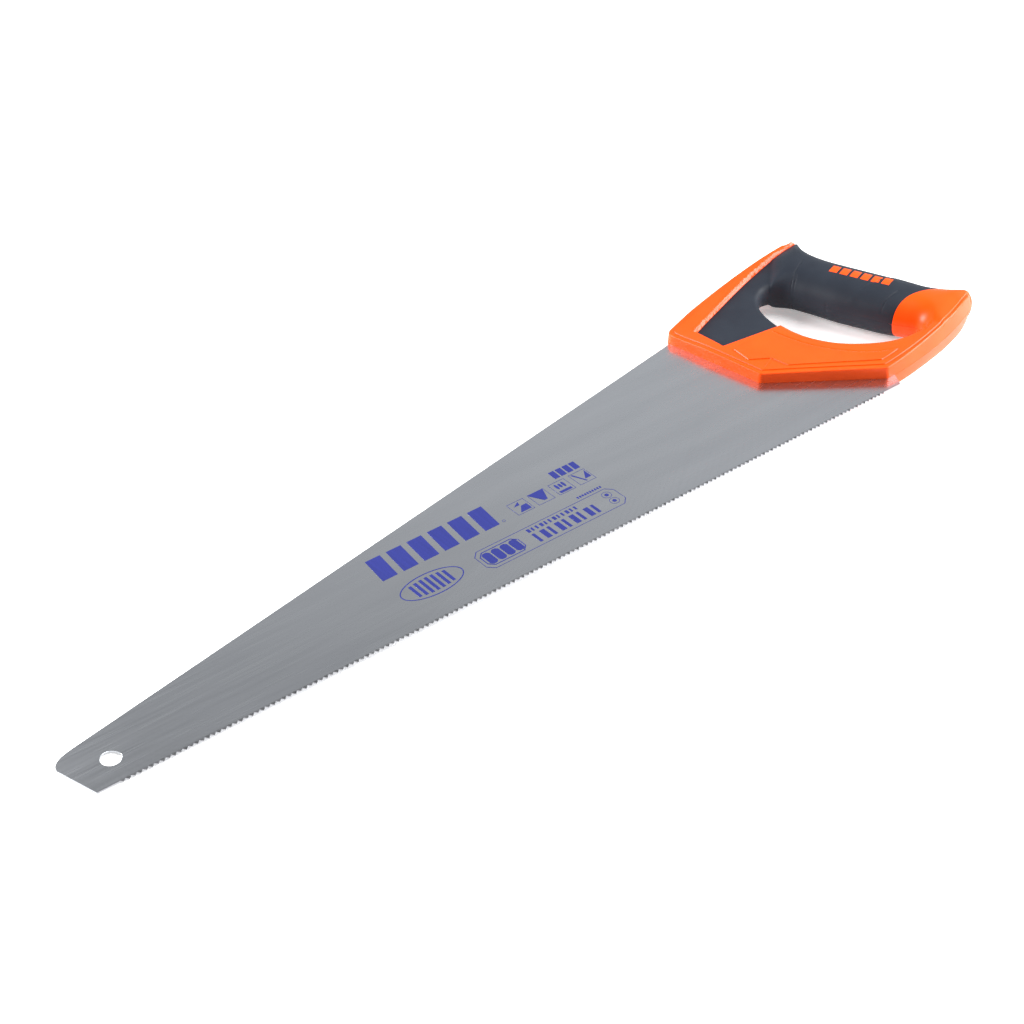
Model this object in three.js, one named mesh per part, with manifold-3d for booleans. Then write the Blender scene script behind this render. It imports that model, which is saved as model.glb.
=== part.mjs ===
// Panel saw with a hardpoint blade and a two-part moulded handle.
//
// Millimetres. While it is drawn, the saw lies flat: X runs along the tooth line from the toe to the
// handle, Y runs from the teeth to the back of the blade, and Z is the blade's normal with Z = 0 in
// the middle of its thickness. At the end the whole saw is moved so that the origin is the centre of
// its bounding box.
//
// The handle is two hard shells that meet at Z = 0, one the mirror image of the other, with the
// blade's tang between them. Three posts on the upper shell pass through holes in the tang into
// sockets in the lower shell. Each shell has a recess that holds a soft grip skin.

import * as THREE from 'three';
import { mergeVertices } from 'three/addons/utils/BufferGeometryUtils.js';
import Module from 'manifold-3d';

const wasm = await Module();
wasm.setup();

// ---------------------------------------------------------------- driving dimensions
const BLADE_LENGTH = 550;
const BLADE_THICKNESS = 0.9;
const BACK_AT_TOE = 33.8; // height of the back line above the tooth line at X = 0
const BACK_SLOPE = Math.tan(THREE.MathUtils.degToRad(10.75));
const TOOTH_PITCH = 25.4 / 8; // eight teeth to the inch
const TOOTH_TIP = -1.2;
const TOOTH_GULLET = 0.2;
const FIRST_TOOTH = 12;
const LAST_TOOTH = 538;
const HANG_HOLE = { x: 17.2, y: 16.85, radius: 5.4 };

const POSTS = [[506, 68], [521, 112], [547, 27]]; // through the tang
const POST_RADIUS = 3.5;
const POST_DEPTH = 4; // below the middle plane
const CLEARANCE = 0.3; // between cut or moulded neighbours
const SLOT_PLAY = 0.05; // on each face of the tang

const FLANGE_HEIGHT = 6.8; // half thickness at the front corner of the handle
const FLANGE_GAIN = 1.3; // by which it is thicker away from that corner
const HORN_RISE = 3.6; // by which the top band is thicker still at the horn
const EDGE_HEIGHT = 0.3; // least height of a shell's wall above the middle plane
const GRIP_HEIGHT = 15.4; // half thickness at the crest of the grip
const GRIP_HALF_WIDTH = 21.3;
const GRIP_POWER = 2.3; // superellipse section, 2 would be a plain ellipse
const GRIP_AXIS = new THREE.Vector2(0.369, -0.929).normalize(); // along the grip, towards the teeth
const GRIP_ACROSS = new THREE.Vector2(-GRIP_AXIS.y, GRIP_AXIS.x); // towards the back of the hand
const GRIP_END = 207.5; // past the butt, measured along GRIP_AXIS
const FINGER_SIDE = 572.4; // place of the grip's finger side, measured along GRIP_ACROSS
const PANEL_DEPTH = 2; // the soft panel lies this far below the flange
const SKIN = 2; // thickness of the soft skin
const WALL = 3; // thickness of the hard shell's walls
const RIB = 2.4;
const RIBS_AT = [118, 142, 166]; // places of the ribs along the grip
const POCKET_DEPTH = 3.4; // of the rooms beside the tang, from the middle plane
const CROWN_DROP = 0.9; // a parallel surface below the crown drops by this share of its inset

// ---------------------------------------------------------------- outlines in the middle plane
const HORN = [604, 155.4];
const FRONT_TOP = [481.2, 130];
const FRONT_EDGE_TOP = [475.8, 120.5];
const FRONT_CORNER = [486.5, 55];
const HEEL_CORNER = [548.6, 8.8];
const TAIL = [650.6, 32.4];
const TAIL_BACK = [652.3, 41.3];

const v2 = ([x, y]) => new THREE.Vector2(x, y);

function bezier(from, a, b, to, steps) {
  const curve = new THREE.CubicBezierCurve(v2(from), v2(a), v2(b), v2(to));
  return curve.getPoints(steps).slice(0, -1);
}

function line(from, to, steps) {
  return new THREE.LineCurve(v2(from), v2(to)).getPoints(steps).slice(0, -1);
}

// The rear of the handle, from the tail at the butt up the back of the grip to the horn.
const rearEdge = [
  ...bezier(TAIL, [653.5, 33.8], [654.8, 37.6], TAIL_BACK, 3),
  ...bezier(TAIL_BACK, [647.5, 46], [641.8, 49.6], [637, 60.5], 5),
  ...line([637, 60.5], [618.3, 110], 6),
  ...bezier([618.3, 110], [614.7, 119.5], [611.8, 128], [611.5, 138], 5),
  ...bezier([611.5, 138], [611.4, 143], [612.4, 146.5], [613.6, 149.8], 3),
  ...bezier([613.6, 149.8], [614.4, 153.2], [610.5, 156.1], HORN, 4),
];
// The other edges: top band, 90 degree edge, 45 degree edge and butt.
const sharpEdge = [
  ...bezier(HORN, [568, 151.6], [520.3, 143.4], FRONT_TOP, 16),
  ...bezier(FRONT_TOP, [477, 128.6], [474.9, 126.2], FRONT_EDGE_TOP, 4),
  ...line(FRONT_EDGE_TOP, FRONT_CORNER, 8),
  ...line(FRONT_CORNER, HEEL_CORNER, 9),
  ...bezier(HEEL_CORNER, [583, 10.7], [619.8, 17.9], TAIL, 13),
];
const outline = [...rearEdge, ...sharpEdge];

// The finger hole: a smooth closed curve.
const fingerHole = new THREE.CatmullRomCurve3([
  [537.3, 87], [540.8, 107], [548, 119.8], [559.5, 125.6], [570, 120], [576, 106.5],
  [582.3, 86], [589.4, 68], [596, 53.5], [601.5, 44.5], [605.5, 37], [604, 30.8],
  [595.5, 27.4], [585, 27.2], [572.6, 30.8], [559.2, 39.4], [546.8, 52.6], [538.9, 69.2],
].map(([x, y]) => new THREE.Vector3(x, y, 0)), true, 'centripetal')
  .getPoints(144).slice(0, -1).map((p) => new THREE.Vector2(p.x, p.y));

// ---------------------------------------------------------------- the handle's surface
function distanceTo(points, x, y, closed = false) {
  let best = Infinity;
  const last = closed ? points.length : points.length - 1;
  for (let i = 0; i < last; i++) {
    const a = points[i];
    const b = points[(i + 1) % points.length];
    const dx = b.x - a.x;
    const dy = b.y - a.y;
    const t = THREE.MathUtils.clamp(((x - a.x) * dx + (y - a.y) * dy) / (dx * dx + dy * dy), 0, 1);
    best = Math.min(best, Math.hypot(x - a.x - t * dx, y - a.y - t * dy));
  }
  return best;
}

const smooth = (from, to, x) => {
  const t = THREE.MathUtils.clamp((x - from) / (to - from), 0, 1);
  return t * t * (3 - 2 * t);
};

// Height of a rounded edge, from 0 on the edge to 1 at the distance `radius` from it.
function roundOver(distance, radius, power = GRIP_POWER) {
  const c = 1 - THREE.MathUtils.clamp(distance / radius, 0, 1);
  return (1 - c ** power) ** (1 / power);
}

const rearLine = [...rearEdge, v2(HORN)];
const sharpLine = [...sharpEdge, v2(TAIL)];

// The upper edge of the soft panel, at the foot of the top band's inner slope.
const bandFoot = new THREE.CatmullRomCurve3([
  [487, 115.1], [511, 123.9], [531, 131], [551, 137.4], [581, 145.6], [597, 149.2], [612, 151.6], [625, 153],
].map(([x, y]) => new THREE.Vector3(x, y, 0)), false, 'centripetal').getPoints(28);

function bandFootAt(x) {
  const i = THREE.MathUtils.clamp(bandFoot.findIndex((p) => p.x > x), 1, bandFoot.length - 1);
  const [a, b] = [bandFoot[i - 1], bandFoot[i]];
  return a.y + (b.y - a.y) * (x - a.x) / (b.x - a.x);
}

// The soft panel's front corner, and its front and lower edges.
const PANEL_CORNER = [490.4, 91.9];
const BAND_SLOPE = 2.1; // width of the top band's inner slope
const panelLeft = (y) => PANEL_CORNER[0] - (y - PANEL_CORNER[1]) * 0.03;
const panelLow = (x) => PANEL_CORNER[1] - (x - PANEL_CORNER[0]) * 0.125;

// Half thickness of the handle at a place in plan. `inset` moves every rounded edge inwards and
// lowers the crown, which gives the parallel surface below a skin or a wall.
function halfThickness(x, y, inset = 0) {
  const across = x * GRIP_ACROSS.x + y * GRIP_ACROSS.y;
  const along = x * GRIP_AXIS.x + y * GRIP_AXIS.y;
  const toSharp = distanceTo(sharpLine, x, y) - inset;
  const toRear = distanceTo(rearLine, x, y) - inset;
  const toHole = distanceTo(fingerHole, x, y, true) - inset;

  // The flange grows from the front corner towards the butt, and the soft panel is let into it.
  const fromCorner = Math.hypot(x - FRONT_CORNER[0], y - FRONT_CORNER[1]);
  const towardsButt = 0.045 * Math.max(0, x - 545) * (1 - y / 160) - 2.2 * smooth(636, 652, x);
  const towardsHorn = HORN_RISE * smooth(500, 602, x) * smooth(112, 140, y) - smooth(510, 482, x) * smooth(95, 120, y);
  const flange = FLANGE_HEIGHT + FLANGE_GAIN * (1 - Math.exp(-fromCorner / 40)) + towardsButt + towardsHorn;
  const inPanel = smooth(-0.15, 0.15, x - panelLeft(y)) * smooth(-0.15, 0.15, y - panelLow(x))
    * smooth(BAND_SLOPE, 0, y - bandFootAt(x));
  const onGrip = smooth(556, 573, across) * smooth(90, 106, along) * smooth(203, 190, along);
  const rearRadius = GRIP_HALF_WIDTH - 18.6 * smooth(104, 86, along) - 16 * smooth(192, 207, along);
  const plate = (flange - PANEL_DEPTH * inPanel)
    * roundOver(toRear, rearRadius)
    * roundOver(toHole, 4 + 12 * onGrip, 2);

  // The grip body ends at the band, in an oblique shoulder over the finger hole, and past the butt.
  const toShoulder = (x - 561.5) * 0.711 - (y - 124.5) * 0.703;
  const sides = [
    toHole,
    toRear,
    toShoulder - inset,
    across - FINGER_SIDE + 30 * smooth(150, 110, along) - inset,
    (bandFootAt(x) + 1.3 - y) * 0.97 - inset,
    GRIP_END - along - inset,
  ].map((d) => Math.max(d, 0.001) ** -4);
  const toSides = sides.reduce((sum, d) => sum + d) ** -0.25;
  const crest = GRIP_HEIGHT - 1.2 * smooth(160, 185, along);
  const grip = crest * roundOver(1.03 * toSides, GRIP_HALF_WIDTH * (1 - 0.03 * smooth(150, 185, along)));

  const draft = 0.5 + 1.3 * smooth(548, 560, x) * smooth(60, 50, y);
  const wall = THREE.MathUtils.clamp(toSharp / draft, 0, 1);
  return (plate ** 4 + grip ** 4) ** 0.25 * wall - CROWN_DROP * inset;
}

// ---------------------------------------------------------------- solids
function solid(geometry) {
  const bare = geometry.clone();
  bare.deleteAttribute('normal');
  bare.deleteAttribute('uv');
  const merged = mergeVertices(bare, 1e-4);
  return new wasm.Manifold(new wasm.Mesh({
    numProp: 3,
    vertProperties: new Float32Array(merged.attributes.position.array),
    triVerts: new Uint32Array(merged.index.array),
  }));
}

function geometryOf(manifold) {
  const mesh = manifold.getMesh();
  const geometry = new THREE.BufferGeometry();
  geometry.setAttribute('position', new THREE.BufferAttribute(new Float32Array(mesh.vertProperties), 3));
  geometry.setIndex([...mesh.triVerts]);
  return geometry;
}

function prism(points, low, high, holes = []) {
  const shape = new THREE.Shape(points);
  shape.holes = holes.map((hole) => new THREE.Path(hole));
  const geometry = new THREE.ExtrudeGeometry(shape, { depth: high - low, bevelEnabled: false });
  return geometry.translate(0, 0, low);
}

function rod(x, y, radius, low, high) {
  return new THREE.CylinderGeometry(radius, radius, high - low, 24)
    .rotateX(Math.PI / 2).translate(x, y, (low + high) / 2);
}

function circle(x, y, radius, sides) {
  return Array.from({ length: sides }, (_, i) => {
    const angle = 2 * Math.PI * i / sides;
    return new THREE.Vector2(x + radius * Math.cos(angle), y + radius * Math.sin(angle));
  });
}

// A ring of spokes from the outline to the finger hole, each with rows of points along it that are
// close together near both edges, carries the surface z = height(x, y) over a flat base.
const HOLE_MIDDLE = new THREE.Vector2(572, 78);
const OUTER_ROWS = [0, 0.6, 1.9, 4.2];
const HOLE_ROWS = [6, 3, 1.3, 0.4, 0];
const MIDDLE_ROWS = 5;

const bearing = (p) => Math.atan2((p.y - HOLE_MIDDLE.y) * 0.5, p.x - HOLE_MIDDLE.x);
const holeByBearing = fingerHole.map((p) => ({ p, angle: bearing(p) })).sort((a, b) => a.angle - b.angle);

function holePointAt(angle) {
  const count = holeByBearing.length;
  const next = holeByBearing.findIndex((h) => h.angle > angle);
  const b = holeByBearing[next < 0 ? 0 : next];
  const a = holeByBearing[next <= 0 ? count - 1 : next - 1];
  const span = (b.angle - a.angle + 2 * Math.PI) % (2 * Math.PI);
  const t = ((angle - a.angle + 2 * Math.PI) % (2 * Math.PI)) / span;
  return a.p.clone().lerp(b.p, t);
}

const spokes = outline.map((outer) => {
  const inner = holePointAt(bearing(outer));
  const length = outer.distanceTo(inner);
  const squeeze = Math.min(1, length / 15);
  const first = OUTER_ROWS.at(-1) * squeeze;
  const last = length - HOLE_ROWS[0] * squeeze;
  const places = [
    ...OUTER_ROWS.map((d) => d * squeeze),
    ...Array.from({ length: MIDDLE_ROWS }, (_, i) => first + (last - first) * (i + 1) / (MIDDLE_ROWS + 1)),
    ...HOLE_ROWS.map((d) => length - d * squeeze),
  ];
  return places.map((place) => outer.clone().lerp(inner, place / length));
});

function overRing(height, base) {
  const rows = spokes[0].length;
  const count = spokes.length;
  const positions = [];
  for (const spoke of spokes) {
    for (const p of spoke) positions.push(p.x, p.y, Math.max(height(p.x, p.y), base + EDGE_HEIGHT));
    positions.push(spoke[0].x, spoke[0].y, base, spoke[rows - 1].x, spoke[rows - 1].y, base);
  }
  const stride = rows + 2;
  const index = [];
  const quad = (a, b, c, d) => index.push(a, b, c, a, c, d);
  for (let i = 0; i < count; i++) {
    const here = i * stride;
    const next = ((i + 1) % count) * stride;
    for (let r = 0; r < rows - 1; r++) quad(here + r, next + r, next + r + 1, here + r + 1);
    quad(here + rows, next + rows, next, here); // outer wall
    quad(here + rows - 1, next + rows - 1, next + rows + 1, here + rows + 1); // wall of the hole
    quad(here + rows + 1, next + rows + 1, next + rows, here + rows); // base
  }
  const geometry = new THREE.BufferGeometry();
  geometry.setAttribute('position', new THREE.BufferAttribute(new Float32Array(positions), 3));
  geometry.setIndex(index);
  return geometry;
}

// ---------------------------------------------------------------- blade
const backAt = (x) => BACK_AT_TOE + BACK_SLOPE * x;

// The tang inside the handle, from the heel round the front of the finger hole to the back.
const tangEdge = [
  v2([551, 1.5]), v2([555.1, 9.2]),
  ...bezier([559, 17], [560.5, 22], [558, 26.5], [552, 31.5], 4),
  ...bezier([552, 31.5], [519.5, 62], [521, 101], [533, 120], 8),
  v2([536, backAt(536)]),
];
const toe = bezier([8, backAt(8)], [-1, backAt(-1)], [-7, 31.6], [-7.4, 25.5], 6);

const teeth = [];
for (let x = FIRST_TOOTH + 0.4; x + TOOTH_PITCH < LAST_TOOTH; x += TOOTH_PITCH) {
  teeth.push(v2([x, TOOTH_GULLET]), v2([x + TOOTH_PITCH / 2, TOOTH_TIP]));
}
const bladeEdge = [
  v2([0.4, 0]), v2([FIRST_TOOTH, 0]), ...teeth, v2([LAST_TOOTH, TOOTH_GULLET]), v2([LAST_TOOTH + 0.4, 0]),
  v2([BLADE_LENGTH, 0]), ...tangEdge, ...toe, v2([-7.4, 25.5]), v2([-0.1, 0.6]),
];

const blade = prism(bladeEdge, -BLADE_THICKNESS / 2, BLADE_THICKNESS / 2, [
  circle(HANG_HOLE.x, HANG_HOLE.y, HANG_HOLE.radius, 40),
  ...POSTS.map(([x, y]) => circle(x, y, POST_RADIUS + CLEARANCE, 24)),
]);

// The slot for the tang: its outline grown by the clearance on its three inner sides.
function grown(points, distance) {
  const outward = (a, b) => new THREE.Vector2(b.y - a.y, a.x - b.x).normalize();
  return points.map((p, i) => {
    const one = outward(points.at(i - 1), p);
    const two = outward(p, points[(i + 1) % points.length]);
    const mitre = one.clone().add(two).multiplyScalar(distance / (1 + one.dot(two)));
    return p.clone().add(mitre);
  });
}
const tangSlot = grown([
  v2([400, 0]), v2([549.6, -6]), v2([551, 1.5]), ...tangEdge.slice(1), v2([400, backAt(400)]),
], CLEARANCE);

// ---------------------------------------------------------------- handle
const inGripFrame = (across, along) => new THREE.Vector2(
  across * GRIP_ACROSS.x + along * GRIP_AXIS.x,
  across * GRIP_ACROSS.y + along * GRIP_AXIS.y,
);

// The seam round the lower end of the grip bends towards the tail.
const seam = [
  ...bezier([566, 172.3], [580, 172.5], [594, 178], [607, 191], 8),
  ...bezier([607, 191], [611, 195], [616, 197.5], [626, 198.5], 4),
].map((p) => inGripFrame(p.x, p.y));

function skinArea(gap) {
  const foot = bandFoot.filter((p) => p.x > PANEL_CORNER[0] + 1).map((p) => new THREE.Vector2(p.x, p.y + gap)).reverse();
  return [
    new THREE.Vector2(panelLeft(bandFootAt(PANEL_CORNER[0])) - gap, bandFootAt(PANEL_CORNER[0]) + gap),
    new THREE.Vector2(PANEL_CORNER[0] - gap, PANEL_CORNER[1] - gap),
    new THREE.Vector2(545, panelLow(545) - gap),
    new THREE.Vector2(575, 60),
    ...seam.map((p) => new THREE.Vector2(p.x + gap * GRIP_AXIS.x, p.y + gap * GRIP_AXIS.y)),
    new THREE.Vector2(660, 66),
    ...foot,
  ];
}

const body = solid(overRing((x, y) => halfThickness(x, y), 0));
const below = (inset) => solid(overRing((x, y) => halfThickness(x, y, inset), -2));
const underSkin = below(SKIN);
const hollow = below(SKIN + CLEARANCE + WALL);

const skin = body.intersect(solid(prism(skinArea(0), -1, 20))).subtract(underSkin);

// Ribs across the hollow grip, and the pockets beside the tang with posts between them.
const gripRoom = [[592, 96], [615, 96], [619, 190], [592, 190]].map(([n, m]) => inGripFrame(n - 14, m));
const ribs = RIBS_AT.map((along) => solid(prism([
  inGripFrame(560, along), inGripFrame(625, along), inGripFrame(625, along + RIB), inGripFrame(560, along + RIB),
], -2, 20)));
const gripHollow = ribs.reduce((room, rib) => room.subtract(rib), hollow.intersect(solid(prism([
  gripRoom[0], gripRoom[3], gripRoom[2], gripRoom[1],
], -2, 20))));
const pockets = [
  [[497, 100], [499, 78], [513, 78], [514, 100]],
  [[497, 58.5], [515, 45], [520, 58.5], [516, 62], [497, 62]],
  [[521, 42], [533, 32.5], [541, 38], [528, 53]],
].map((corners) => solid(prism(corners.map(v2), -1, POCKET_DEPTH)));

const recess = solid(prism(skinArea(CLEARANCE), -1, 20)).subtract(below(SKIN + CLEARANCE));
let upper = body.subtract(recess);
upper = upper.subtract(solid(prism(tangSlot, -1, BLADE_THICKNESS / 2 + SLOT_PLAY))).subtract(gripHollow);
for (const pocket of pockets) upper = upper.subtract(pocket);
const lower = POSTS.reduce(
  (shell, [x, y]) => shell.subtract(solid(rod(x, y, POST_RADIUS + CLEARANCE, -1, POST_DEPTH + CLEARANCE))),
  upper,
);
const withPosts = POSTS.reduce((shell, [x, y]) => shell.add(solid(rod(x, y, POST_RADIUS, -POST_DEPTH, 2))), upper);

const mirrored = (manifold) => manifold.mirror([0, 0, 1]);

// ---------------------------------------------------------------- materials and scene graph
const steel = new THREE.MeshStandardMaterial({ color: 0xa5a9b2, roughness: 0.35, metalness: 1 });
const hard = new THREE.MeshStandardMaterial({ color: 0xfe742c, roughness: 0.35, metalness: 0 });
const soft = new THREE.MeshStandardMaterial({ color: 0x3e444f, roughness: 0.7, metalness: 0 });

const saw = new THREE.Group();
function piece(name, geometry, material) {
  const mesh = new THREE.Mesh(geometry, material);
  mesh.name = name;
  saw.add(mesh);
}
piece('blade', blade, steel);
piece('upper_handle_shell', geometryOf(withPosts), hard);
piece('lower_handle_shell', geometryOf(mirrored(lower)), hard);
piece('upper_grip_skin', geometryOf(skin), soft);
piece('lower_grip_skin', geometryOf(mirrored(skin)), soft);

const middle = new THREE.Box3().setFromObject(saw).getCenter(new THREE.Vector3());
saw.position.sub(middle);

export default saw;
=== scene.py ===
import math

import bpy
import numpy as np
from mathutils import Matrix, Vector
from mathutils.geometry import delaunay_2d_cdt


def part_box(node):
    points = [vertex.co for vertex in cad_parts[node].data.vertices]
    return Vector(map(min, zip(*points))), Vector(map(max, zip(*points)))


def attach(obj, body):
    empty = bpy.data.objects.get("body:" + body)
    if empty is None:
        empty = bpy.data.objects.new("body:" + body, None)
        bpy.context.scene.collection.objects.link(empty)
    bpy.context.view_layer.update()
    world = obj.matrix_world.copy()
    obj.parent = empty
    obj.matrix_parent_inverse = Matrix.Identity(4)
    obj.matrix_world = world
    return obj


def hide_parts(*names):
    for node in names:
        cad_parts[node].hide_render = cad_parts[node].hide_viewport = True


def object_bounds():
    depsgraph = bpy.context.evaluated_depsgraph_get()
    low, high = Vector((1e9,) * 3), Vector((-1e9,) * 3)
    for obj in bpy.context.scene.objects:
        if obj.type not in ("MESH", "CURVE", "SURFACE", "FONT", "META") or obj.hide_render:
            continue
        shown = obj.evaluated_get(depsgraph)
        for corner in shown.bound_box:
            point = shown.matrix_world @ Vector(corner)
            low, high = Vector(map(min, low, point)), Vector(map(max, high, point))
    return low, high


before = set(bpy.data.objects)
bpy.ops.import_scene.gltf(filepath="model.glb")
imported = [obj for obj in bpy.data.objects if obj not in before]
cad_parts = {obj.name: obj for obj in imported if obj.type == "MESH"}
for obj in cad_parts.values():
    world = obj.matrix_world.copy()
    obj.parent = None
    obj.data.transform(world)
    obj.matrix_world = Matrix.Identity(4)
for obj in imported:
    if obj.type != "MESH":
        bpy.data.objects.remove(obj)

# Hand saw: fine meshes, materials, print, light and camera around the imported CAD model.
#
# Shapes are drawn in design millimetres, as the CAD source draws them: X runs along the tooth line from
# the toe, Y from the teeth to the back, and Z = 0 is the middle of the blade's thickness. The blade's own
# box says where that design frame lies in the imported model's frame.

cad_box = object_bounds()

# ---------------------------------------------------------------- sizes, in millimetres
BLADE_LENGTH = 550
BLADE_HALF = 0.45
BACK_AT_TOE = 33.8
BACK_SLOPE = math.tan(math.radians(10.75))
TOE_REACH = 7.4                     # the toe's round nose lies this far ahead of the tooth line
TOOTH_PITCH = 25.4 / 8
TOOTH_TIP, TOOTH_GULLET = -1.2, 0.2
FIRST_TOOTH, LAST_TOOTH = 12, 538
HANG_HOLE = (17.2, 16.85, 5.4)

HORN = (604, 155.4)
FRONT_TOP = (481.2, 130)
FRONT_EDGE_TOP = (475.8, 120.5)
FRONT_CORNER = (486.5, 55)
HEEL_CORNER = (548.6, 8.8)
TAIL = (650.6, 32.4)
TAIL_BACK = (652.3, 41.3)
PARTING = 0.07                      # each shell stops this far from the middle plane
STEP = 0.55                         # height of the moulded steps
STEP_SLOPE = 0.15                   # each step rises from this far before its line to this far after
RIM = 4.0                           # width of the rim along the sharp edges
HOLE_SIDE_DEPTH, HOLE_SIDE_WIDTH = 0.5, 0.4
MARK_HEIGHT, MARK_WIDTH = 0.22, 0.35
GROOVE_DEPTH = GROOVE_WIDTH = 0.3   # of the grooves round the grip
EDGE_ROUND = 1.0                    # round at the top of the sharp edges' walls
HOLE_ROUND, GRIP_HOLE_ROUND = 4, 16
SHELL_UNDER_SKIN = 2.5              # the shell reaches this far under the soft skin
SKIN_GAP = 0.12                     # groove between the soft skin and the hard shell
SKIN_DEPTH = 1.6

CORNER_FLANGE, FLANGE_GAIN, HORN_RISE = 6.8, 1.3, 3.6
GRIP_HEIGHT, GRIP_HALF_WIDTH, GRIP_POWER = 15.4, 21.3, 2.3
FINGER_SIDE = 572.4                 # place of the grip's finger side, measured across the grip
GRIP_END = 207.5                    # past the butt, measured along the grip
SHOULDER, SHOULDER_NORMAL = (561.5, 124.5), (0.711, -0.703)
PANEL_DEPTH = 2.0
PANEL_CORNER = (490.4, 91.9)        # the soft panel's front corner
BAND_SLOPE = 2.1                    # width of the top band's inner slope
ALONG = np.array((0.369, -0.929)) / math.hypot(0.369, 0.929)
ACROSS = np.array((-ALONG[1], ALONG[0]))

blade_low, blade_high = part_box("blade")
ORIGIN = np.array((blade_low.x + TOE_REACH / 1000, blade_low.y - TOOTH_TIP / 1000, 0.0))


def placed(points):
    """Design millimetres to metres in the model's frame."""
    return np.asarray(points, float) / 1000 + ORIGIN


# ---------------------------------------------------------------- outlines
def steps(length, spacing):
    return max(1, math.ceil(length / spacing))


def straight(a, b, spacing=0.8):
    a, b = np.array(a, float), np.array(b, float)
    count = steps(np.linalg.norm(b - a), spacing)
    return a + (b - a) * np.linspace(0, 1, count, endpoint=False)[:, None]


def bezier(a, b, c, d, spacing=0.8, count=None):
    a, b, c, d = (np.array(p, float) for p in (a, b, c, d))
    length = np.linalg.norm(b - a) + np.linalg.norm(c - b) + np.linalg.norm(d - c)
    t = np.linspace(0, 1, count or steps(length, spacing), endpoint=False)[:, None]
    return (1 - t) ** 3 * a + 3 * (1 - t) ** 2 * t * b + 3 * (1 - t) * t * t * c + t ** 3 * d


def towards(a, b, distance):
    a, b = np.array(a, float), np.array(b, float)
    return a + (b - a) * distance / np.linalg.norm(b - a)


def corner(before, at, after, radius, spacing=0.3):
    """A rounded corner, from `radius` before the point to `radius` after it."""
    a, b = towards(at, before, radius), towards(at, after, radius)
    return bezier(a, towards(at, a, radius * 0.45), towards(at, b, radius * 0.45), b, spacing)


def spline(points, per_span, closed=True):
    """Centripetal Catmull-Rom curve through the points."""
    points = np.array(points, float)
    if not closed:
        points = np.vstack((2 * points[0] - points[1], points, 2 * points[-1] - points[-2]))
    count = len(points)
    spans = range(count) if closed else range(1, count - 2)
    out = []
    for i in spans:
        p0, p1, p2, p3 = points[i - 1], points[i], points[(i + 1) % count], points[(i + 2) % count]
        d1, d2, d3 = (np.linalg.norm(v) ** 0.5 for v in (p1 - p0, p2 - p1, p3 - p2))
        b1 = (d1 * d1 * p2 - d2 * d2 * p0 + (2 * d1 * d1 + 3 * d1 * d2 + d2 * d2) * p1) / (3 * d1 * (d1 + d2))
        b2 = (d3 * d3 * p1 - d2 * d2 * p3 + (2 * d3 * d3 + 3 * d3 * d2 + d2 * d2) * p2) / (3 * d3 * (d3 + d2))
        out.append(bezier(p1, b1, b2, p2, count=per_span))
    if not closed:
        out.append(points[-2:-1])
    return np.vstack(out)


REAR = np.vstack((
    bezier(TAIL, (653.5, 33.8), (654.8, 37.6), TAIL_BACK),
    bezier(TAIL_BACK, (647.5, 46), (641.8, 49.6), (637, 60.5)),
    straight((637, 60.5), (618.3, 110)),
    bezier((618.3, 110), (614.7, 119.5), (611.8, 128), (611.5, 138)),
    bezier((611.5, 138), (611.4, 143), (612.4, 146.5), (613.6, 149.8)),
    bezier((613.6, 149.8), (614.4, 153.2), (610.5, 156.1), HORN, 0.4),
))
CORNER_RADIUS = 1.4
BUTT_START = (583, 10.7)            # the butt's first control point
SHARP = np.vstack((
    bezier(HORN, (568, 151.6), (520.3, 143.4), FRONT_TOP),
    bezier(FRONT_TOP, (477, 128.6), (474.9, 126.2), FRONT_EDGE_TOP, 0.4),
    straight(FRONT_EDGE_TOP, towards(FRONT_CORNER, FRONT_EDGE_TOP, CORNER_RADIUS)),
    corner(FRONT_EDGE_TOP, FRONT_CORNER, HEEL_CORNER, CORNER_RADIUS),
    straight(towards(FRONT_CORNER, HEEL_CORNER, CORNER_RADIUS),
             towards(HEEL_CORNER, FRONT_CORNER, CORNER_RADIUS)),
    corner(FRONT_CORNER, HEEL_CORNER, BUTT_START, CORNER_RADIUS),
    bezier(towards(HEEL_CORNER, BUTT_START, CORNER_RADIUS), BUTT_START, (619.8, 17.9), TAIL),
))
OUTLINE = np.vstack((REAR, SHARP))
HOLE = spline((
    (537.3, 87), (540.8, 107), (548, 119.8), (559.5, 125.6), (570, 120), (576, 106.5),
    (582.3, 86), (589.4, 68), (596, 53.5), (601.5, 44.5), (605.5, 37), (604, 30.8),
    (595.5, 27.4), (585, 27.2), (572.6, 30.8), (559.2, 39.4), (546.8, 52.6), (538.9, 69.2),
), 18)
BAND_FOOT = spline((
    (487, 115.1), (511, 123.9), (531, 131), (551, 137.4), (581, 145.6), (597, 149.2), (612, 151.6), (625, 153),
), 12, closed=False)


def grip_point(across, along):
    return across * ACROSS + along * ALONG


def in_grip_frame(points):
    return np.array([grip_point(*p) for p in points])


def distance(points, line, closed=False):
    """Distance from each point to the nearest place on a polyline."""
    ends = np.roll(line, -1, 0) if closed else line[1:]
    starts = line if closed else line[:-1]
    best = np.full(len(points), 1e9)
    for a, v in zip(starts, ends - starts):
        t = np.clip((points - a) @ v / (v @ v + 1e-12), 0, 1)
        away = points - a - t[:, None] * v
        best = np.minimum(best, np.einsum("ij,ij->i", away, away))
    return np.sqrt(best)


def inside(points, loop):
    x, y = points[:, 0], points[:, 1]
    found = np.zeros(len(points), bool)
    for a, b in zip(loop, np.roll(loop, -1, 0)):
        if a[1] != b[1]:
            crosses = (a[1] > y) != (b[1] > y)
            found ^= crosses & (x < (b[0] - a[0]) * (y - a[1]) / (b[1] - a[1]) + a[0])
    return found


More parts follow.
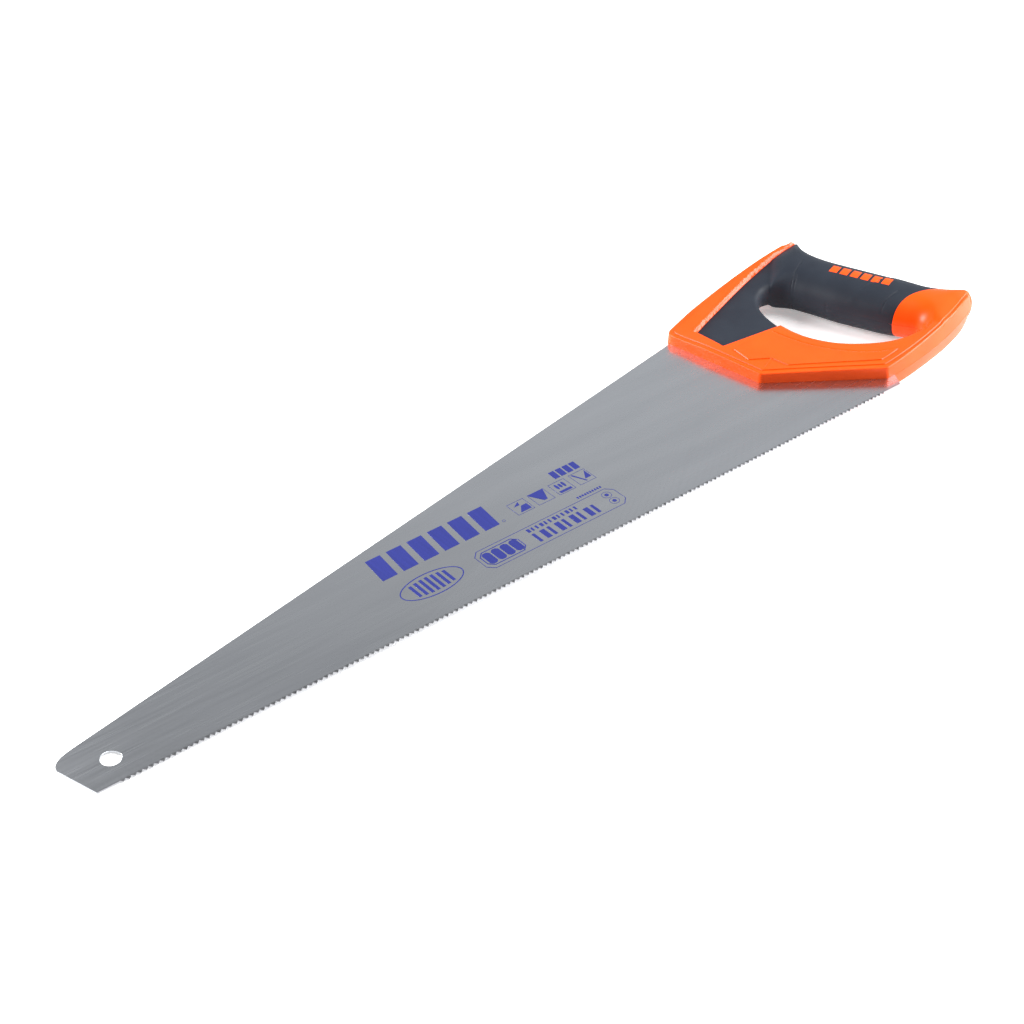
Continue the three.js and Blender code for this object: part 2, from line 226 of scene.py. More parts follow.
def offset(loop, by, closed=True):
    """The line moved to its left by `by`, point for point."""
    if closed:
        tangent = np.roll(loop, -1, 0) - np.roll(loop, 1, 0)
    else:
        tangent = np.gradient(loop, axis=0)
    tangent /= np.linalg.norm(tangent, axis=1)[:, None] + 1e-12
    return loop + by * np.c_[-tangent[:, 1], tangent[:, 0]]


# ---------------------------------------------------------------- the handle's surface
def smooth(start, end, x):
    t = np.clip((x - start) / (end - start), 0, 1)
    return t * t * (3 - 2 * t)


def stepped(beyond):
    return smooth(-STEP_SLOPE, STEP_SLOPE, beyond)


def near(points, line, width):
    """1 on a line, and almost 0 from twice `width` away from it."""
    return np.exp(-(distance(points, line) / width) ** 2)


def round_over(away, radius, power=GRIP_POWER):
    c = 1 - np.clip(away / radius, 0, 1)
    return np.maximum(1 - c ** power, 0) ** (1 / power)


def panel_left(y):
    return PANEL_CORNER[0] - (y - PANEL_CORNER[1]) * 0.03


def panel_low(x):
    return PANEL_CORNER[1] - (x - PANEL_CORNER[0]) * 0.125


# The raised panel of the hard web: parallel to the sharp edges and the hole, with a three-cornered mark
# cut into its front corner.
HOLE_SIDE_LINE = np.vstack((
    bezier((567.6, 18.8), (557, 23.5), (548.5, 31), (540.5, 42)),
    bezier((540.5, 42), (532, 54), (527.5, 66), (525.2, 84.6)),
))
WEB_PANEL = np.vstack((
    straight((492.6, 84.6), (491.3, 70.4)),
    straight((491.3, 70.4), (503, 62.4)),
    straight((503, 62.4), (505.2, 50.2)),
    straight((505.2, 50.2), (551.3, 17.2)),
    bezier((551.3, 17.2), (557, 17.3), (562, 17.8), (567.6, 18.8)),
    HOLE_SIDE_LINE,
    straight((525.2, 84.6), (492.6, 84.6)),
))
MARK_RIDGE = straight((503, 62.4), (492.6, 57.6), 0.5)
GRIP_GROOVES = [
    spline(in_grip_frame(((598.5, 100.9), (590, 101.4), (581, 102.2), (574.8, 103.2))), 10, closed=False),
    spline(in_grip_frame(((583, 104), (578, 104.6), (574, 105.4))), 10, closed=False),
    spline(((610.6, 60.0), (599.2, 59.6), (588.0, 56.4), (578.6, 51.2), (573.4, 45.6)), 10, closed=False),
]
SHARP_LINE = np.vstack((SHARP, [TAIL]))
REAR_LINE = np.vstack((REAR, [HORN]))


def half_thickness(points):
    """Half thickness of the handle over places in plan."""
    x, y = points[:, 0], points[:, 1]
    across, along = points @ ACROSS, points @ ALONG
    to_sharp = distance(points, SHARP_LINE)
    to_rear = distance(points, REAR_LINE)
    to_hole = distance(points, HOLE, closed=True)
    band_foot = np.interp(x, BAND_FOOT[:, 0], BAND_FOOT[:, 1])

    from_corner = np.hypot(x - FRONT_CORNER[0], y - FRONT_CORNER[1])
    flange = CORNER_FLANGE + FLANGE_GAIN * (1 - np.exp(-from_corner / 40))
    flange += 0.045 * np.maximum(0, x - 545) * (1 - y / 160) - 2.2 * smooth(636, 652, x)
    flange += HORN_RISE * smooth(500, 602, x) * smooth(112, 140, y) - smooth(510, 482, x) * smooth(95, 120, y)
    web = np.where(inside(points, WEB_PANEL), 1, -1) * distance(points, WEB_PANEL, closed=True)
    relief = STEP * (stepped(to_sharp - RIM) + stepped(web))
    relief -= HOLE_SIDE_DEPTH * near(points, HOLE_SIDE_LINE, HOLE_SIDE_WIDTH)
    relief += MARK_HEIGHT * near(points, MARK_RIDGE, MARK_WIDTH)
    in_panel = (stepped(x - panel_left(y)) * stepped(y - panel_low(x))
                * smooth(BAND_SLOPE, 0, y - band_foot))
    on_grip = smooth(556, 573, across) * smooth(90, 106, along) * smooth(203, 190, along)
    rear_radius = GRIP_HALF_WIDTH - 18.6 * smooth(104, 86, along) - 16 * smooth(192, 207, along)
    hole_radius = HOLE_ROUND + (GRIP_HOLE_ROUND - HOLE_ROUND) * on_grip
    plate = ((flange + relief) * (1 - in_panel) + (flange - PANEL_DEPTH) * in_panel)
    plate = plate * round_over(to_rear, rear_radius) * round_over(to_hole, hole_radius, 2)

    sides = (
        to_hole,
        to_rear,
        (points - SHOULDER) @ SHOULDER_NORMAL,
        across - FINGER_SIDE + 30 * smooth(150, 110, along),
        (band_foot + 1.3 - y) * 0.97,
        GRIP_END - along,
    )
    to_sides = sum(np.maximum(d, 1e-3) ** -4.0 for d in sides) ** -0.25
    crest = GRIP_HEIGHT - 1.2 * smooth(160, 185, along)
    grip = crest * round_over(1.03 * to_sides, GRIP_HALF_WIDTH * (1 - 0.03 * smooth(150, 185, along)))
    top = (plate ** 4 + grip ** 4) ** 0.25

    # The walls of the sharp edges lean in a little and have a small round at their top.
    lean = 0.45 + 1.2 * smooth(548, 600, x) * smooth(60, 50, y)
    beyond = np.clip((to_sharp - lean) / EDGE_ROUND, 0, 1)
    rise = EDGE_ROUND * np.sqrt(np.maximum(1 - (1 - beyond) ** 2, 0))
    wall_top = top - EDGE_ROUND
    wall = np.where(to_sharp < lean, wall_top * to_sharp / lean, wall_top + rise)
    height = np.minimum(top, wall)
    for groove in GRIP_GROOVES:
        height = height - GROOVE_DEPTH * near(points, groove, GROOVE_WIDTH)
    return np.maximum(height, PARTING)


# ---------------------------------------------------------------- meshes
def triangulated(loops, extra):
    """Delaunay triangles over closed loops, which stay as edges, and loose points."""
    coordinates, edges = [], []
    for loop in loops:
        first = len(coordinates)
        coordinates += [Vector(p) for p in loop]
        edges += [(first + i, first + (i + 1) % len(loop)) for i in range(len(loop))]
    coordinates += [Vector(p) for p in extra]
    made = delaunay_2d_cdt(coordinates, edges, [], 1, 1e-5, False)
    return np.array(made[0]), np.array(made[2])


def mesh_object(name, vertices, faces, material, sharp_angle=35):
    mesh = bpy.data.meshes.new(name)
    mesh.from_pydata([tuple(v) for v in placed(vertices)], [], [tuple(int(i) for i in f) for f in faces])
    mesh.validate()
    mesh.materials.append(material)
    mesh.shade_smooth()
    made = bpy.data.objects.new(name, mesh)
    bpy.context.scene.collection.objects.link(made)
    mesh.set_sharp_from_angle(angle=math.radians(sharp_angle))
    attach(made, "root")
    return made


def boundary_edges(faces):
    """Directed edges that only one triangle has."""
    directed = np.vstack((faces[:, (0, 1)], faces[:, (1, 2)], faces[:, (2, 0)]))
    size = faces.max() + 1
    forward = directed[:, 0] * size + directed[:, 1]
    back = directed[:, 1] * size + directed[:, 0]
    return directed[~np.isin(forward, back)]


def closed_body(plan, faces, top, bottom, shared=0.02):
    """A closed body between two heights over one triangulated plan. They share points where they meet."""
    count = len(plan)
    meet = top - bottom < shared
    lower = np.where(meet, np.arange(count), np.arange(count) + count)
    vertices = np.vstack((np.c_[plan, top], np.c_[plan, bottom]))
    under = lower[faces[:, ::-1]]
    under = under[~meet[faces].all(1)]
    walls = []
    for a, b in boundary_edges(faces):
        ring = [b, a, lower[a], lower[b]]
        ring = [v for i, v in enumerate(ring) if v != ring[i - 1]]
        if len(set(ring)) > 2:
            walls.append(ring)
    around = np.array([v for ring in walls for v in ring], int)
    used = np.unique(np.concatenate((faces.ravel(), under.ravel(), around)))
    new = np.full(len(vertices), -1)
    new[used] = np.arange(len(used))
    rings = [list(new[f]) for f in faces] + [list(new[f]) for f in under] + [[new[v] for v in w] for w in walls]
    return vertices[used], rings


def facing_up(plan, faces):
    a, b, c = plan[faces[:, 0]], plan[faces[:, 1]], plan[faces[:, 2]]
    turn = (b[:, 0] - a[:, 0]) * (c[:, 1] - a[:, 1]) - (b[:, 1] - a[:, 1]) * (c[:, 0] - a[:, 0])
    faces = faces[np.abs(turn) > 1e-9]
    turn = turn[np.abs(turn) > 1e-9]
    return np.where((turn > 0)[:, None], faces, faces[:, ::-1])


GRID = 1.3
EDGE_ROWS = (0.04, 0.15, 0.3, 0.45, 0.52, 0.65, 0.82, 1.0, 1.2, 1.5, 1.75, 2.1, 2.6, 3.2)
STEP_ROWS = (-0.45, -0.16, 0, 0.16, 0.45)
ROUND_ROWS = (0.03, 0.12, 0.3, 0.6, 1.0, 1.5, 2.1, 2.8, 3.6, 4.5)


def offset_rows(line, rows, closed=True):
    """Rows of points beside a line, without those that a bend brings too near to it."""
    found = []
    for by in rows:
        points = offset(line, by, closed)
        found.append(points[distance(points, line, closed) > abs(by) * 0.93 - 1e-6])
    return np.vstack(found)


def grid_points(loop, spacing):
    low, high = loop.min(0), loop.max(0)
    rows = np.arange(low[1], high[1], spacing * 0.866)
    columns = np.arange(low[0], high[0], spacing)
    x, y = np.meshgrid(columns, rows)
    x[1::2] += spacing / 2
    return np.c_[x.ravel(), y.ravel()]


def surface_points():
    """Loose points of the handle's plan: rows along every edge, step and groove, and a grid between."""
    rows = [
        offset_rows(SHARP, EDGE_ROWS, closed=False),
        offset_rows(SHARP, [RIM + r for r in STEP_ROWS], closed=False),
        offset_rows(REAR, ROUND_ROWS, closed=False),
        offset_rows(HOLE, [-r for r in ROUND_ROWS]),
        offset_rows(HOLE, ROUND_ROWS),
        offset_rows(WEB_PANEL, STEP_ROWS),
        offset_rows(MARK_RIDGE, (-0.5, -0.25, 0, 0.25, 0.5), closed=False),
        offset_rows(BAND_FOOT, (-0.3, 0, 0.4, 0.8, 1.2, 1.6, 2.0, 2.3), closed=False),
        *(offset_rows(g, (-0.6, -0.3, -0.15, 0, 0.15, 0.3, 0.6), closed=False) for g in GRIP_GROOVES),
    ]
    rows = np.vstack(rows)
    grid = grid_points(OUTLINE, GRID)
    cell = 0.8
    taken = {tuple(c) for c in np.floor(rows / cell).astype(int)}
    free = [tuple(c) not in taken for c in np.floor(grid / cell).astype(int)]
    points = np.vstack((rows, grid[free]))
    points = points[inside(points, OUTLINE) & ~inside(points, HOLE)]
    clear = (distance(points, OUTLINE, True) > 0.02) & (distance(points, HOLE, True) > 0.02)
    return points[clear]


SEAM = in_grip_frame(np.vstack((
    bezier((560, 172.6), (562, 172.4), (564, 172.3), (566, 172.3)),
    bezier((566, 172.3), (580, 172.5), (594, 178), (607, 191)),
    bezier((607, 191), (611, 195), (616, 197.5), (630, 198.9)),
)))
PANEL_TOP = float(np.interp(PANEL_CORNER[0], BAND_FOOT[:, 0], BAND_FOOT[:, 1]))
SKIN_AREA = np.vstack((
    straight((panel_left(PANEL_TOP), PANEL_TOP), PANEL_CORNER),
    straight(PANEL_CORNER, (545, panel_low(545))),
    straight((545, panel_low(545)), (575, 60)),
    straight((575, 60), SEAM[0]),
    SEAM,
    straight(SEAM[-1], (668, 62)),
    straight((668, 62), (640, 152)),
    straight((640, 152), BAND_FOOT[-1]),
    BAND_FOOT[BAND_FOOT[:, 0] > PANEL_CORNER[0] + 0.4][::-1],
))


def on_edge(plan):
    return (distance(plan, OUTLINE, True) < 1e-3) | (distance(plan, HOLE, True) < 1e-3)


def handle_plan(loops, loose):
    """Triangles between the outline and the finger hole, with their middles."""
    plan, faces = triangulated((OUTLINE, HOLE, *loops), loose)
    faces = facing_up(plan, faces)
    faces = faces[inside(plan[faces].mean(1), OUTLINE) & ~inside(plan[faces].mean(1), HOLE)]
    return plan, faces, plan[faces].mean(1)


def turned(vertices, rings, side):
    """A body as it is, or for side -1 its mirror image below the middle plane."""
    return vertices * np.array((1, 1, side)), rings if side > 0 else [ring[::-1] for ring in rings]


def handle_half(side, name, shell_material, skin_material):
    """The hard shell and the soft skin of one half of the handle; side is 1 above and -1 below."""
    loose = surface_points()
    loose = loose[distance(loose, SKIN_AREA, True) > 0.25]

    # The shell has a step down under the skin, and is open further in, where the skin hides it.
    recess = offset(SKIN_AREA, -SKIN_GAP)
    plan, faces, middle = handle_plan((recess, offset(SKIN_AREA, -SKIN_GAP + 0.05)), loose)
    under_skin = inside(middle, recess) & (distance(middle, SKIN_AREA, True) > SHELL_UNDER_SKIN)
    top = half_thickness(plan)
    sunk = inside(plan, recess) & (distance(plan, recess, True) > 0.02)
    top = np.where(sunk, np.maximum(top - SKIN_DEPTH, 2 * PARTING), top)
    top = np.where(on_edge(plan), PARTING, top)
    body = closed_body(plan, faces[~under_skin], top, np.full(len(plan), PARTING))
    shell = mesh_object(name + "_hard_shell", *turned(*body, side), shell_material)

    # The skin has a small round along its own edge.
    plan, faces, middle = handle_plan((SKIN_AREA, offset(SKIN_AREA, 0.12), offset(SKIN_AREA, 0.3)), loose)
    top = half_thickness(plan)
    top = top - 0.18 * (1 - round_over(distance(plan, SKIN_AREA, True), 0.3, 2))
    low = PARTING / 3
    top = np.where(on_edge(plan), low, np.maximum(top, 2 * low))
    bottom = np.where(on_edge(plan), low, np.maximum(top - SKIN_DEPTH + 0.1, low))
    body = closed_body(plan, faces[inside(middle, SKIN_AREA)], top, bottom)
    skin = mesh_object(name + "_soft_grip", *turned(*body, side), skin_material)
    return shell, skin


# ---------------------------------------------------------------- blade
def back_at(x):
    return BACK_AT_TOE + BACK_SLOPE * x


def circle(x, y, radius, sides=64):
    angle = np.linspace(0, 2 * math.pi, sides, endpoint=False)[:, None]
    return np.array((x, y)) + radius * np.hstack((np.cos(angle), np.sin(angle)))


def blade_piece(material):
    """The blade with ground, set teeth. The tang's end is inside the handle."""
    toe = np.vstack((
        bezier((8, back_at(8)), (-1, back_at(-1)), (-7, 31.6), (-7.4, 25.5), count=16),
        straight((-7.4, 25.5), (-0.1, 0.6), 3),
        bezier((-0.1, 0.6), (0, 0.2), (0.1, 0), (0.4, 0), count=4),
    ))
    teeth, tips = [], []
    x = FIRST_TOOTH + 0.4
    while x + TOOTH_PITCH < LAST_TOOTH:
        teeth += [(x - 0.12, TOOTH_GULLET), (x + 0.12, TOOTH_GULLET), (x + TOOTH_PITCH / 2, TOOTH_TIP)]
        tips.append(x + TOOTH_PITCH / 2)
        x += TOOTH_PITCH
    outline = np.vstack((
        toe, [(FIRST_TOOTH, 0)], teeth, [(x, TOOTH_GULLET), (x + 0.4, 0), (BLADE_LENGTH, 0), (551, 1.5)],
        straight((551, 1.5), (555.1, 9.2), 3),
        bezier((555.1, 9.2), (559, 17), (560.5, 22), (558, 26.5), 2),
        bezier((558, 26.5), (557, 28), (554, 30), (552, 31.5), 2),
        bezier((552, 31.5), (519.5, 62), (521, 101), (533, 120), 3),
        [(536, back_at(536))],
    ))
    along = np.arange(FIRST_TOOTH, LAST_TOOTH, TOOTH_PITCH / 2)
    root_line = np.column_stack((along, np.full(len(along), TOOTH_GULLET + 0.75)))
    hole = circle(*HANG_HOLE)
    rim = circle(HANG_HOLE[0], HANG_HOLE[1], HANG_HOLE[2] + 0.12)
    plan, faces = triangulated((outline, hole, rim), root_line)
    faces = facing_up(plan, faces)
    middle = plan[faces].mean(1)
    faces = faces[~inside(middle, hole) & inside(middle, outline)]
    half = np.full(len(plan), BLADE_HALF)
    half[distance(plan, hole, True) < 0.01] -= 0.1
    bend = np.zeros(len(plan))
    for i, tip in enumerate(tips):
        at = (np.abs(plan[:, 0] - tip) < 0.01) & (plan[:, 1] < TOOTH_TIP + 0.01)
        half[at] = 0.25
        bend[at] = 0.15 * (-1) ** i
    vertices, rings = closed_body(plan, faces, bend + half, bend - half)
    return mesh_object("saw_blade", vertices, rings, material, sharp_angle=2)


# ---------------------------------------------------------------- materials
def material(name, colour, roughness, metallic=0.0):
    made = bpy.data.materials.new(name)
    made.use_nodes = True
    shader = made.node_tree.nodes["Principled BSDF"]
    shader.inputs["Base Color"].default_value = (*colour, 1)
    shader.inputs["Roughness"].default_value = roughness
    shader.inputs["Metallic"].default_value = metallic
    made.diffuse_color = (*colour, 1)
    return made, made.node_tree, shader


def node(tree, kind, **settings):
    made = tree.nodes.new(kind)
    for key, value in settings.items():
        if key in made.inputs:
            made.inputs[key].default_value = value
        else:
            setattr(made, key, value)
    return made


def noise(tree, scale, stretch=(1, 1, 1), detail=3.0, roughness=0.5):
    """Noise over the object's own metres, finer where `stretch` is larger."""
    place = node(tree, "ShaderNodeTexCoord")
    mapping = node(tree, "ShaderNodeMapping", Scale=stretch)
    texture = node(tree, "ShaderNodeTexNoise", Scale=scale, Detail=detail, Roughness=roughness)
    tree.links.new(place.outputs["Object"], mapping.inputs["Vector"])
    tree.links.new(mapping.outputs["Vector"], texture.inputs["Vector"])
    return texture.outputs["Fac"]


def spread(tree, value, low, high, from_low=0.3, from_high=0.7):
    made = node(tree, "ShaderNodeMapRange", **{"From Min": from_low, "From Max": from_high,
                                               "To Min": low, "To Max": high})
    tree.links.new(value, made.inputs["Value"])
    return made.outputs["Result"]


def tinted(tree, value, dark, light):
    """A mix of two colours. The light one may be a socket."""
    made = node(tree, "ShaderNodeMix", data_type="RGBA")
    tree.links.new(value, made.inputs["Factor"])
    low, high = (s for s in made.inputs if s.type == "RGBA")
    low.default_value = (*dark, 1)
    if isinstance(light, tuple):
        high.default_value = (*light, 1)
    else:
        tree.links.new(light, high)
    return next(s for s in made.outputs if s.type == "RGBA")


def bumped(tree, shader, heights):
    """Adds bump layers, each a pair of a height and a depth in metres."""
    normal = None
    for height, depth in heights:
        made = node(tree, "ShaderNodeBump", Distance=depth, Strength=1.0)
        tree.links.new(height, made.inputs["Height"])
        if normal is not None:
            tree.links.new(normal, made.inputs["Normal"])
        normal = made.outputs["Normal"]
    tree.links.new(normal, shader.inputs["Normal"])


def steel_material():
    made, tree, shader = material("brushed_steel", (0.60, 0.615, 0.64), 0.3, 1.0)
    fine = noise(tree, 900, (0.03, 1, 1), 4)
    wide = noise(tree, 60, (0.12, 1, 1), 3)
    lengthways = noise(tree, 300, (0.02, 1, 1), 2)
    tree.links.new(spread(tree, fine, 0.23, 0.28), shader.inputs["Roughness"])
    place = node(tree, "ShaderNodeTexCoord")
    split = node(tree, "ShaderNodeSeparateXYZ")
    tree.links.new(place.outputs["Object"], split.inputs["Vector"])
    tooth_line = ORIGIN[1]
    hardened = spread(tree, split.outputs["Y"], 0, 1, tooth_line - 0.0004, tooth_line + 0.0012)
    base = tinted(tree, spread(tree, wide, 0, 1), (0.55, 0.57, 0.605), (0.60, 0.62, 0.655))
    tree.links.new(tinted(tree, hardened, (0.42, 0.42, 0.44), base), shader.inputs["Base Color"])
    bumped(tree, shader, [(fine, 0.0000002), (lengthways, 0.0000001)])
    return made


def hard_plastic_material():
    made, tree, shader = material("orange_hard_plastic", (0.93, 0.088, 0.003), 0.34)
    shader.inputs["Specular IOR Level"].default_value = 0.24
    patches = noise(tree, 45, detail=2)
    grain = noise(tree, 2600, detail=2)
    tree.links.new(tinted(tree, spread(tree, patches, 0, 1), (0.90, 0.072, 0.001), (0.95, 0.081, 0.002)),
                   shader.inputs["Base Color"])
    tree.links.new(spread(tree, grain, 0.33, 0.42), shader.inputs["Roughness"])
    bumped(tree, shader, [(grain, 0.000004)])
    return made


def soft_grip_material():
    made, tree, shader = material("black_soft_grip", (0.022, 0.026, 0.036), 0.6)
    shader.inputs["Specular IOR Level"].default_value = 0.2
    patches = noise(tree, 60, detail=3)
    grain = noise(tree, 3500, detail=3, roughness=0.6)
    tree.links.new(tinted(tree, spread(tree, patches, 0, 1), (0.014, 0.018, 0.027), (0.018, 0.023, 0.033)),
                   shader.inputs["Base Color"])
    tree.links.new(spread(tree, grain, 0.5, 0.68), shader.inputs["Roughness"])
    bumped(tree, shader, [(grain, 0.00001)])
    return made


def ink_material():
    made, tree, shader = material("blue_ink", (0.03, 0.045, 0.36), 0.45)
    grain = noise(tree, 900, (1, 0.05, 1), 3)
    tree.links.new(tinted(tree, spread(tree, grain, 0, 1), (0.010, 0.016, 0.145), (0.013, 0.020, 0.175)),
                   shader.inputs["Base Color"])
    return made


# ---------------------------------------------------------------- generic print on the blade
INK = 0.02                          # thickness of the ink
INK_LIFT = 0.012


def ink_shape(loops):
    """One printed patch: the first loop is its edge and the others are openings in it."""
    plan, faces = triangulated(loops, np.zeros((0, 2)))
    faces = facing_up(plan, faces)
    middle = plan[faces].mean(1)
    keep = inside(middle, loops[0])
    for opening in loops[1:]:
        keep &= ~inside(middle, opening)
    low = BLADE_HALF + INK_LIFT
    return closed_body(plan, faces[keep], np.full(len(plan), low + INK), np.full(len(plan), low), 0)


def joined(bodies):
    vertices, rings, count = [], [], 0
    for points, faces in bodies:
        vertices.append(points)
        rings += [[count + i for i in face] for face in faces]
        count += len(points)
    return np.vstack(vertices), rings


def printed(name, shapes, ink):
    bodies = [ink_shape([np.array(loop, float) for loop in loops]) for loops in shapes]
    made = mesh_object(name, *joined(bodies), ink)
    return made


def box_loop(x0, y0, x1, y1, slant=0.0):
    return [(x0, y0), (x1, y0), (x1 + slant, y1), (x0 + slant, y1)]


def chamfered(x0, y0, x1, y1, cut):
    return [(x0 + cut, y0), (x1 - cut, y0), (x1, y0 + cut), (x1, y1 - cut), (x1 - cut, y1), (x0 + cut, y1),
            (x0, y1 - cut), (x0, y0 + cut)]


def frame_of(loop_of, inset):
    """An outline: a loop and the same loop `inset` smaller."""
    return [loop_of(0), loop_of(inset)]


def ellipse(x, y, rx, ry, sides=72):
    angle = np.linspace(0, 2 * math.pi, sides, endpoint=False)
    return np.c_[x + rx * np.cos(angle), y + ry * np.sin(angle)]


def blade_print(ink):
    # A row of bold slanted blocks, all alike.
    blocks = [[box_loop(198.7 + 13.9 * i, 44.4, 208.6 + 13.9 * i, 64.4, 2.2)] for i in range(6)]
    printed("print_block_row", blocks, ink)

    # An outlined oval with a fan of short bars.
    badge = [[ellipse(217.7, 26.1, 20.2, 9.6), ellipse(217.7, 26.1, 19.5, 8.9)]]
    for i in range(7):
        middle = 206.6 + 3.7 * i
        reach = 6.6 * math.sqrt(1 - ((middle - 217.7) / 19) ** 2)
        badge.append([box_loop(middle - 1.0, 26.1 - reach, middle + 1.0, 26.1 + reach)])
    printed("print_oval_badge", badge, ink)

    # A long chamfered panel with four blocks in a frame, two bar rows and two rings.
    panel = [frame_of(lambda i: chamfered(248.4 + i, 14.5 + i, 347.5 - i, 32.8 - i, 3.8), 0.35)]
    panel.append([chamfered(250.6, 16.9, 277.2, 30.4, 3.2), chamfered(251.2, 17.5, 276.6, 29.8, 3.0)])
    for i in range(4):
        left = 252.3 + 6.1 * i
        panel.append([chamfered(left, 18.4, left + 5.2, 28.9, 1.4)])
    for i in range(9):
        left = 285.2 + 5.2 * i
        panel.append([box_loop(left, 17.2, left + 2.0 + 1.4 * (i % 2), 25.6)])
    for i in range(12):
        left = 285.2 + 3.05 * i
        panel.append([box_loop(left, 27.6, left + 1.3 + 0.7 * (i % 3 == 0), 30.8)])
    for y in (27.2, 20.4):
        panel.append([ellipse(340.9, y, 3.0, 3.0, 40), ellipse(340.9, y, 2.7, 2.7, 40)])
        panel.append([ellipse(340.9, y, 1.3, 1.3, 24)])
    printed("print_data_panel", panel, ink)

    # Four outlined squares with plain shapes in them.
    squares = []
    for left in (291.2, 305.9, 321.0, 336.0):
        squares.append(frame_of(lambda i, x=left: box_loop(x + i, 43.8 + i, x + 11.6 - i, 55.5 - i), 0.28))
    squares.append([[(294, 45.2), (301.6, 45.2), (301.6, 50.4), (297.8, 50.4)]])
    squares.append([[(293.6, 51.4), (298.4, 54.4), (297.6, 51.4)]])
    squares.append([[(306.2, 55.2), (317.2, 55.2), (313.6, 46), (311.2, 46)]])
    squares.append([box_loop(322.6, 44.9, 331, 46.9)])
    for i in range(3):
        squares.append([ellipse(324.4 + 2.4 * i, 51.2, 0.9, 2.6 - 0.5 * (i % 2), 24)])
    squares.append([[(337.2, 54.6), (338.4, 54.6), (342.4, 45.2), (341.4, 45.2)]])
    squares.append([[(342.2, 47.2), (346.6, 47.2), (346.6, 54.2)]])
    printed("print_square_signs", squares, ink)

    # Short block rows above the squares and above the panel's end.
    labels = [[box_loop(328.7 + 4.9 * i, 57.7, 332.6 + 4.9 * i, 64.9, 0.3)] for i in range(4)]
    labels += [[box_loop(326.2 + 1.8 * i, 34.6, 327.4 + 1.8 * i, 36.4)] for i in range(10)]
    labels.append([ellipse(281.7, 45.4, 1.0, 1.0, 24), ellipse(281.7, 45.4, 0.75, 0.75, 24)])
    printed("print_small_rows", labels, ink)


BARS, BAR_WIDTH, BAR_PITCH = 6, 5.2, 7.1
BAR_START = 121.5                   # measured along the grip
BAR_LOW, BAR_HIGH = 592.6, 601.2    # measured across the grip


def grip_bars(side, colour):
    """A row of bars let into the crest of the grip."""
    bodies = []
    for i in range(BARS):
        low = BAR_START + BAR_PITCH * i
        high = low + BAR_WIDTH
        corners = ((BAR_LOW, low), (BAR_LOW, high), (BAR_HIGH, high), (BAR_HIGH, low), (BAR_LOW, low))
        loop = in_grip_frame(np.vstack([straight(a, b, 0.5) for a, b in zip(corners, corners[1:])]))
        grid = grid_points(loop, 0.9)
        grid = grid[inside(grid, loop) & (distance(grid, loop, True) > 0.3)]
        plan, faces = triangulated((loop,), grid)
        faces = facing_up(plan, faces)
        faces = faces[inside(plan[faces].mean(1), loop)]
        top = half_thickness(plan) + 0.06
        bodies.append(turned(*closed_body(plan, faces, top, top - 0.4), side))
    name = "upper_grip_bars" if side > 0 else "lower_grip_bars"
    made = mesh_object(name, *joined(bodies), colour)


# ---------------------------------------------------------------- camera, floor and light
CAMERA_ANGLES = (36.135, -1.611, 52.391)    # pitch down, roll and heading from +X, in degrees
CAMERA_AIM = (290.66, 49.41, 0)
CAMERA_DISTANCE = 1.17193
CAMERA_LENS = 74.07
FLOOR_GAP = 0.0002                          # the grip's crest stays this far above the floor
FLOOR_REACH = 4.0


def camera():
    pitch, roll, heading = (math.radians(a) for a in CAMERA_ANGLES)
    aim = Vector(placed(CAMERA_AIM))
    level = Vector((math.cos(heading), math.sin(heading), 0))
    forward = level * math.cos(pitch) - Vector((0, 0, math.sin(pitch)))
    right = Vector((math.sin(heading), -math.cos(heading), 0))
    up = right.cross(forward)
    tilted_right = right * math.cos(roll) + up * math.sin(roll)
    tilted_up = up * math.cos(roll) - right * math.sin(roll)
    data = bpy.data.cameras.new("camera")
    data.sensor_width = 36
    data.lens = CAMERA_LENS
    made = bpy.data.objects.new("camera", data)
    made.matrix_world = Matrix((
        (tilted_right.x, tilted_up.x, -forward.x, 0),
        (tilted_right.y, tilted_up.y, -forward.y, 0),
        (tilted_right.z, tilted_up.z, -forward.z, 0),
        (0, 0, 0, 1),
    ))
    made.location = aim - forward * CAMERA_DISTANCE
    bpy.context.scene.collection.objects.link(made)
    bpy.context.scene.camera = made


def floor():
    """A plain pale floor that the grip and the toe both rest on."""
    grip_x, grip_low = placed((603, 0, 0))[0], cad_box[0].z - FLOOR_GAP
    toe_x, toe_low = placed((0, 0, 0))[0], -2 * BLADE_HALF / 1000
    slope = (grip_low - toe_low) / (grip_x - toe_x)
    corners = [(x, y, toe_low + slope * (x - toe_x)) for x, y in
               ((-FLOOR_REACH, -FLOOR_REACH), (FLOOR_REACH, -FLOOR_REACH),
                (FLOOR_REACH, FLOOR_REACH), (-FLOOR_REACH, FLOOR_REACH))]
    mesh = bpy.data.meshes.new("floor")
    mesh.from_pydata(corners, [], [(0, 1, 2, 3)])
    made = bpy.data.objects.new("floor", mesh)
    bpy.context.scene.collection.objects.link(made)
    colour, _, shader = material("pale_floor", (0.9, 0.9, 0.9), 0.9)
    shader.inputs["Emission Color"].default_value = (1, 1, 1, 1)
    shader.inputs["Emission Strength"].default_value = 0.35
    mesh.materials.append(colour)


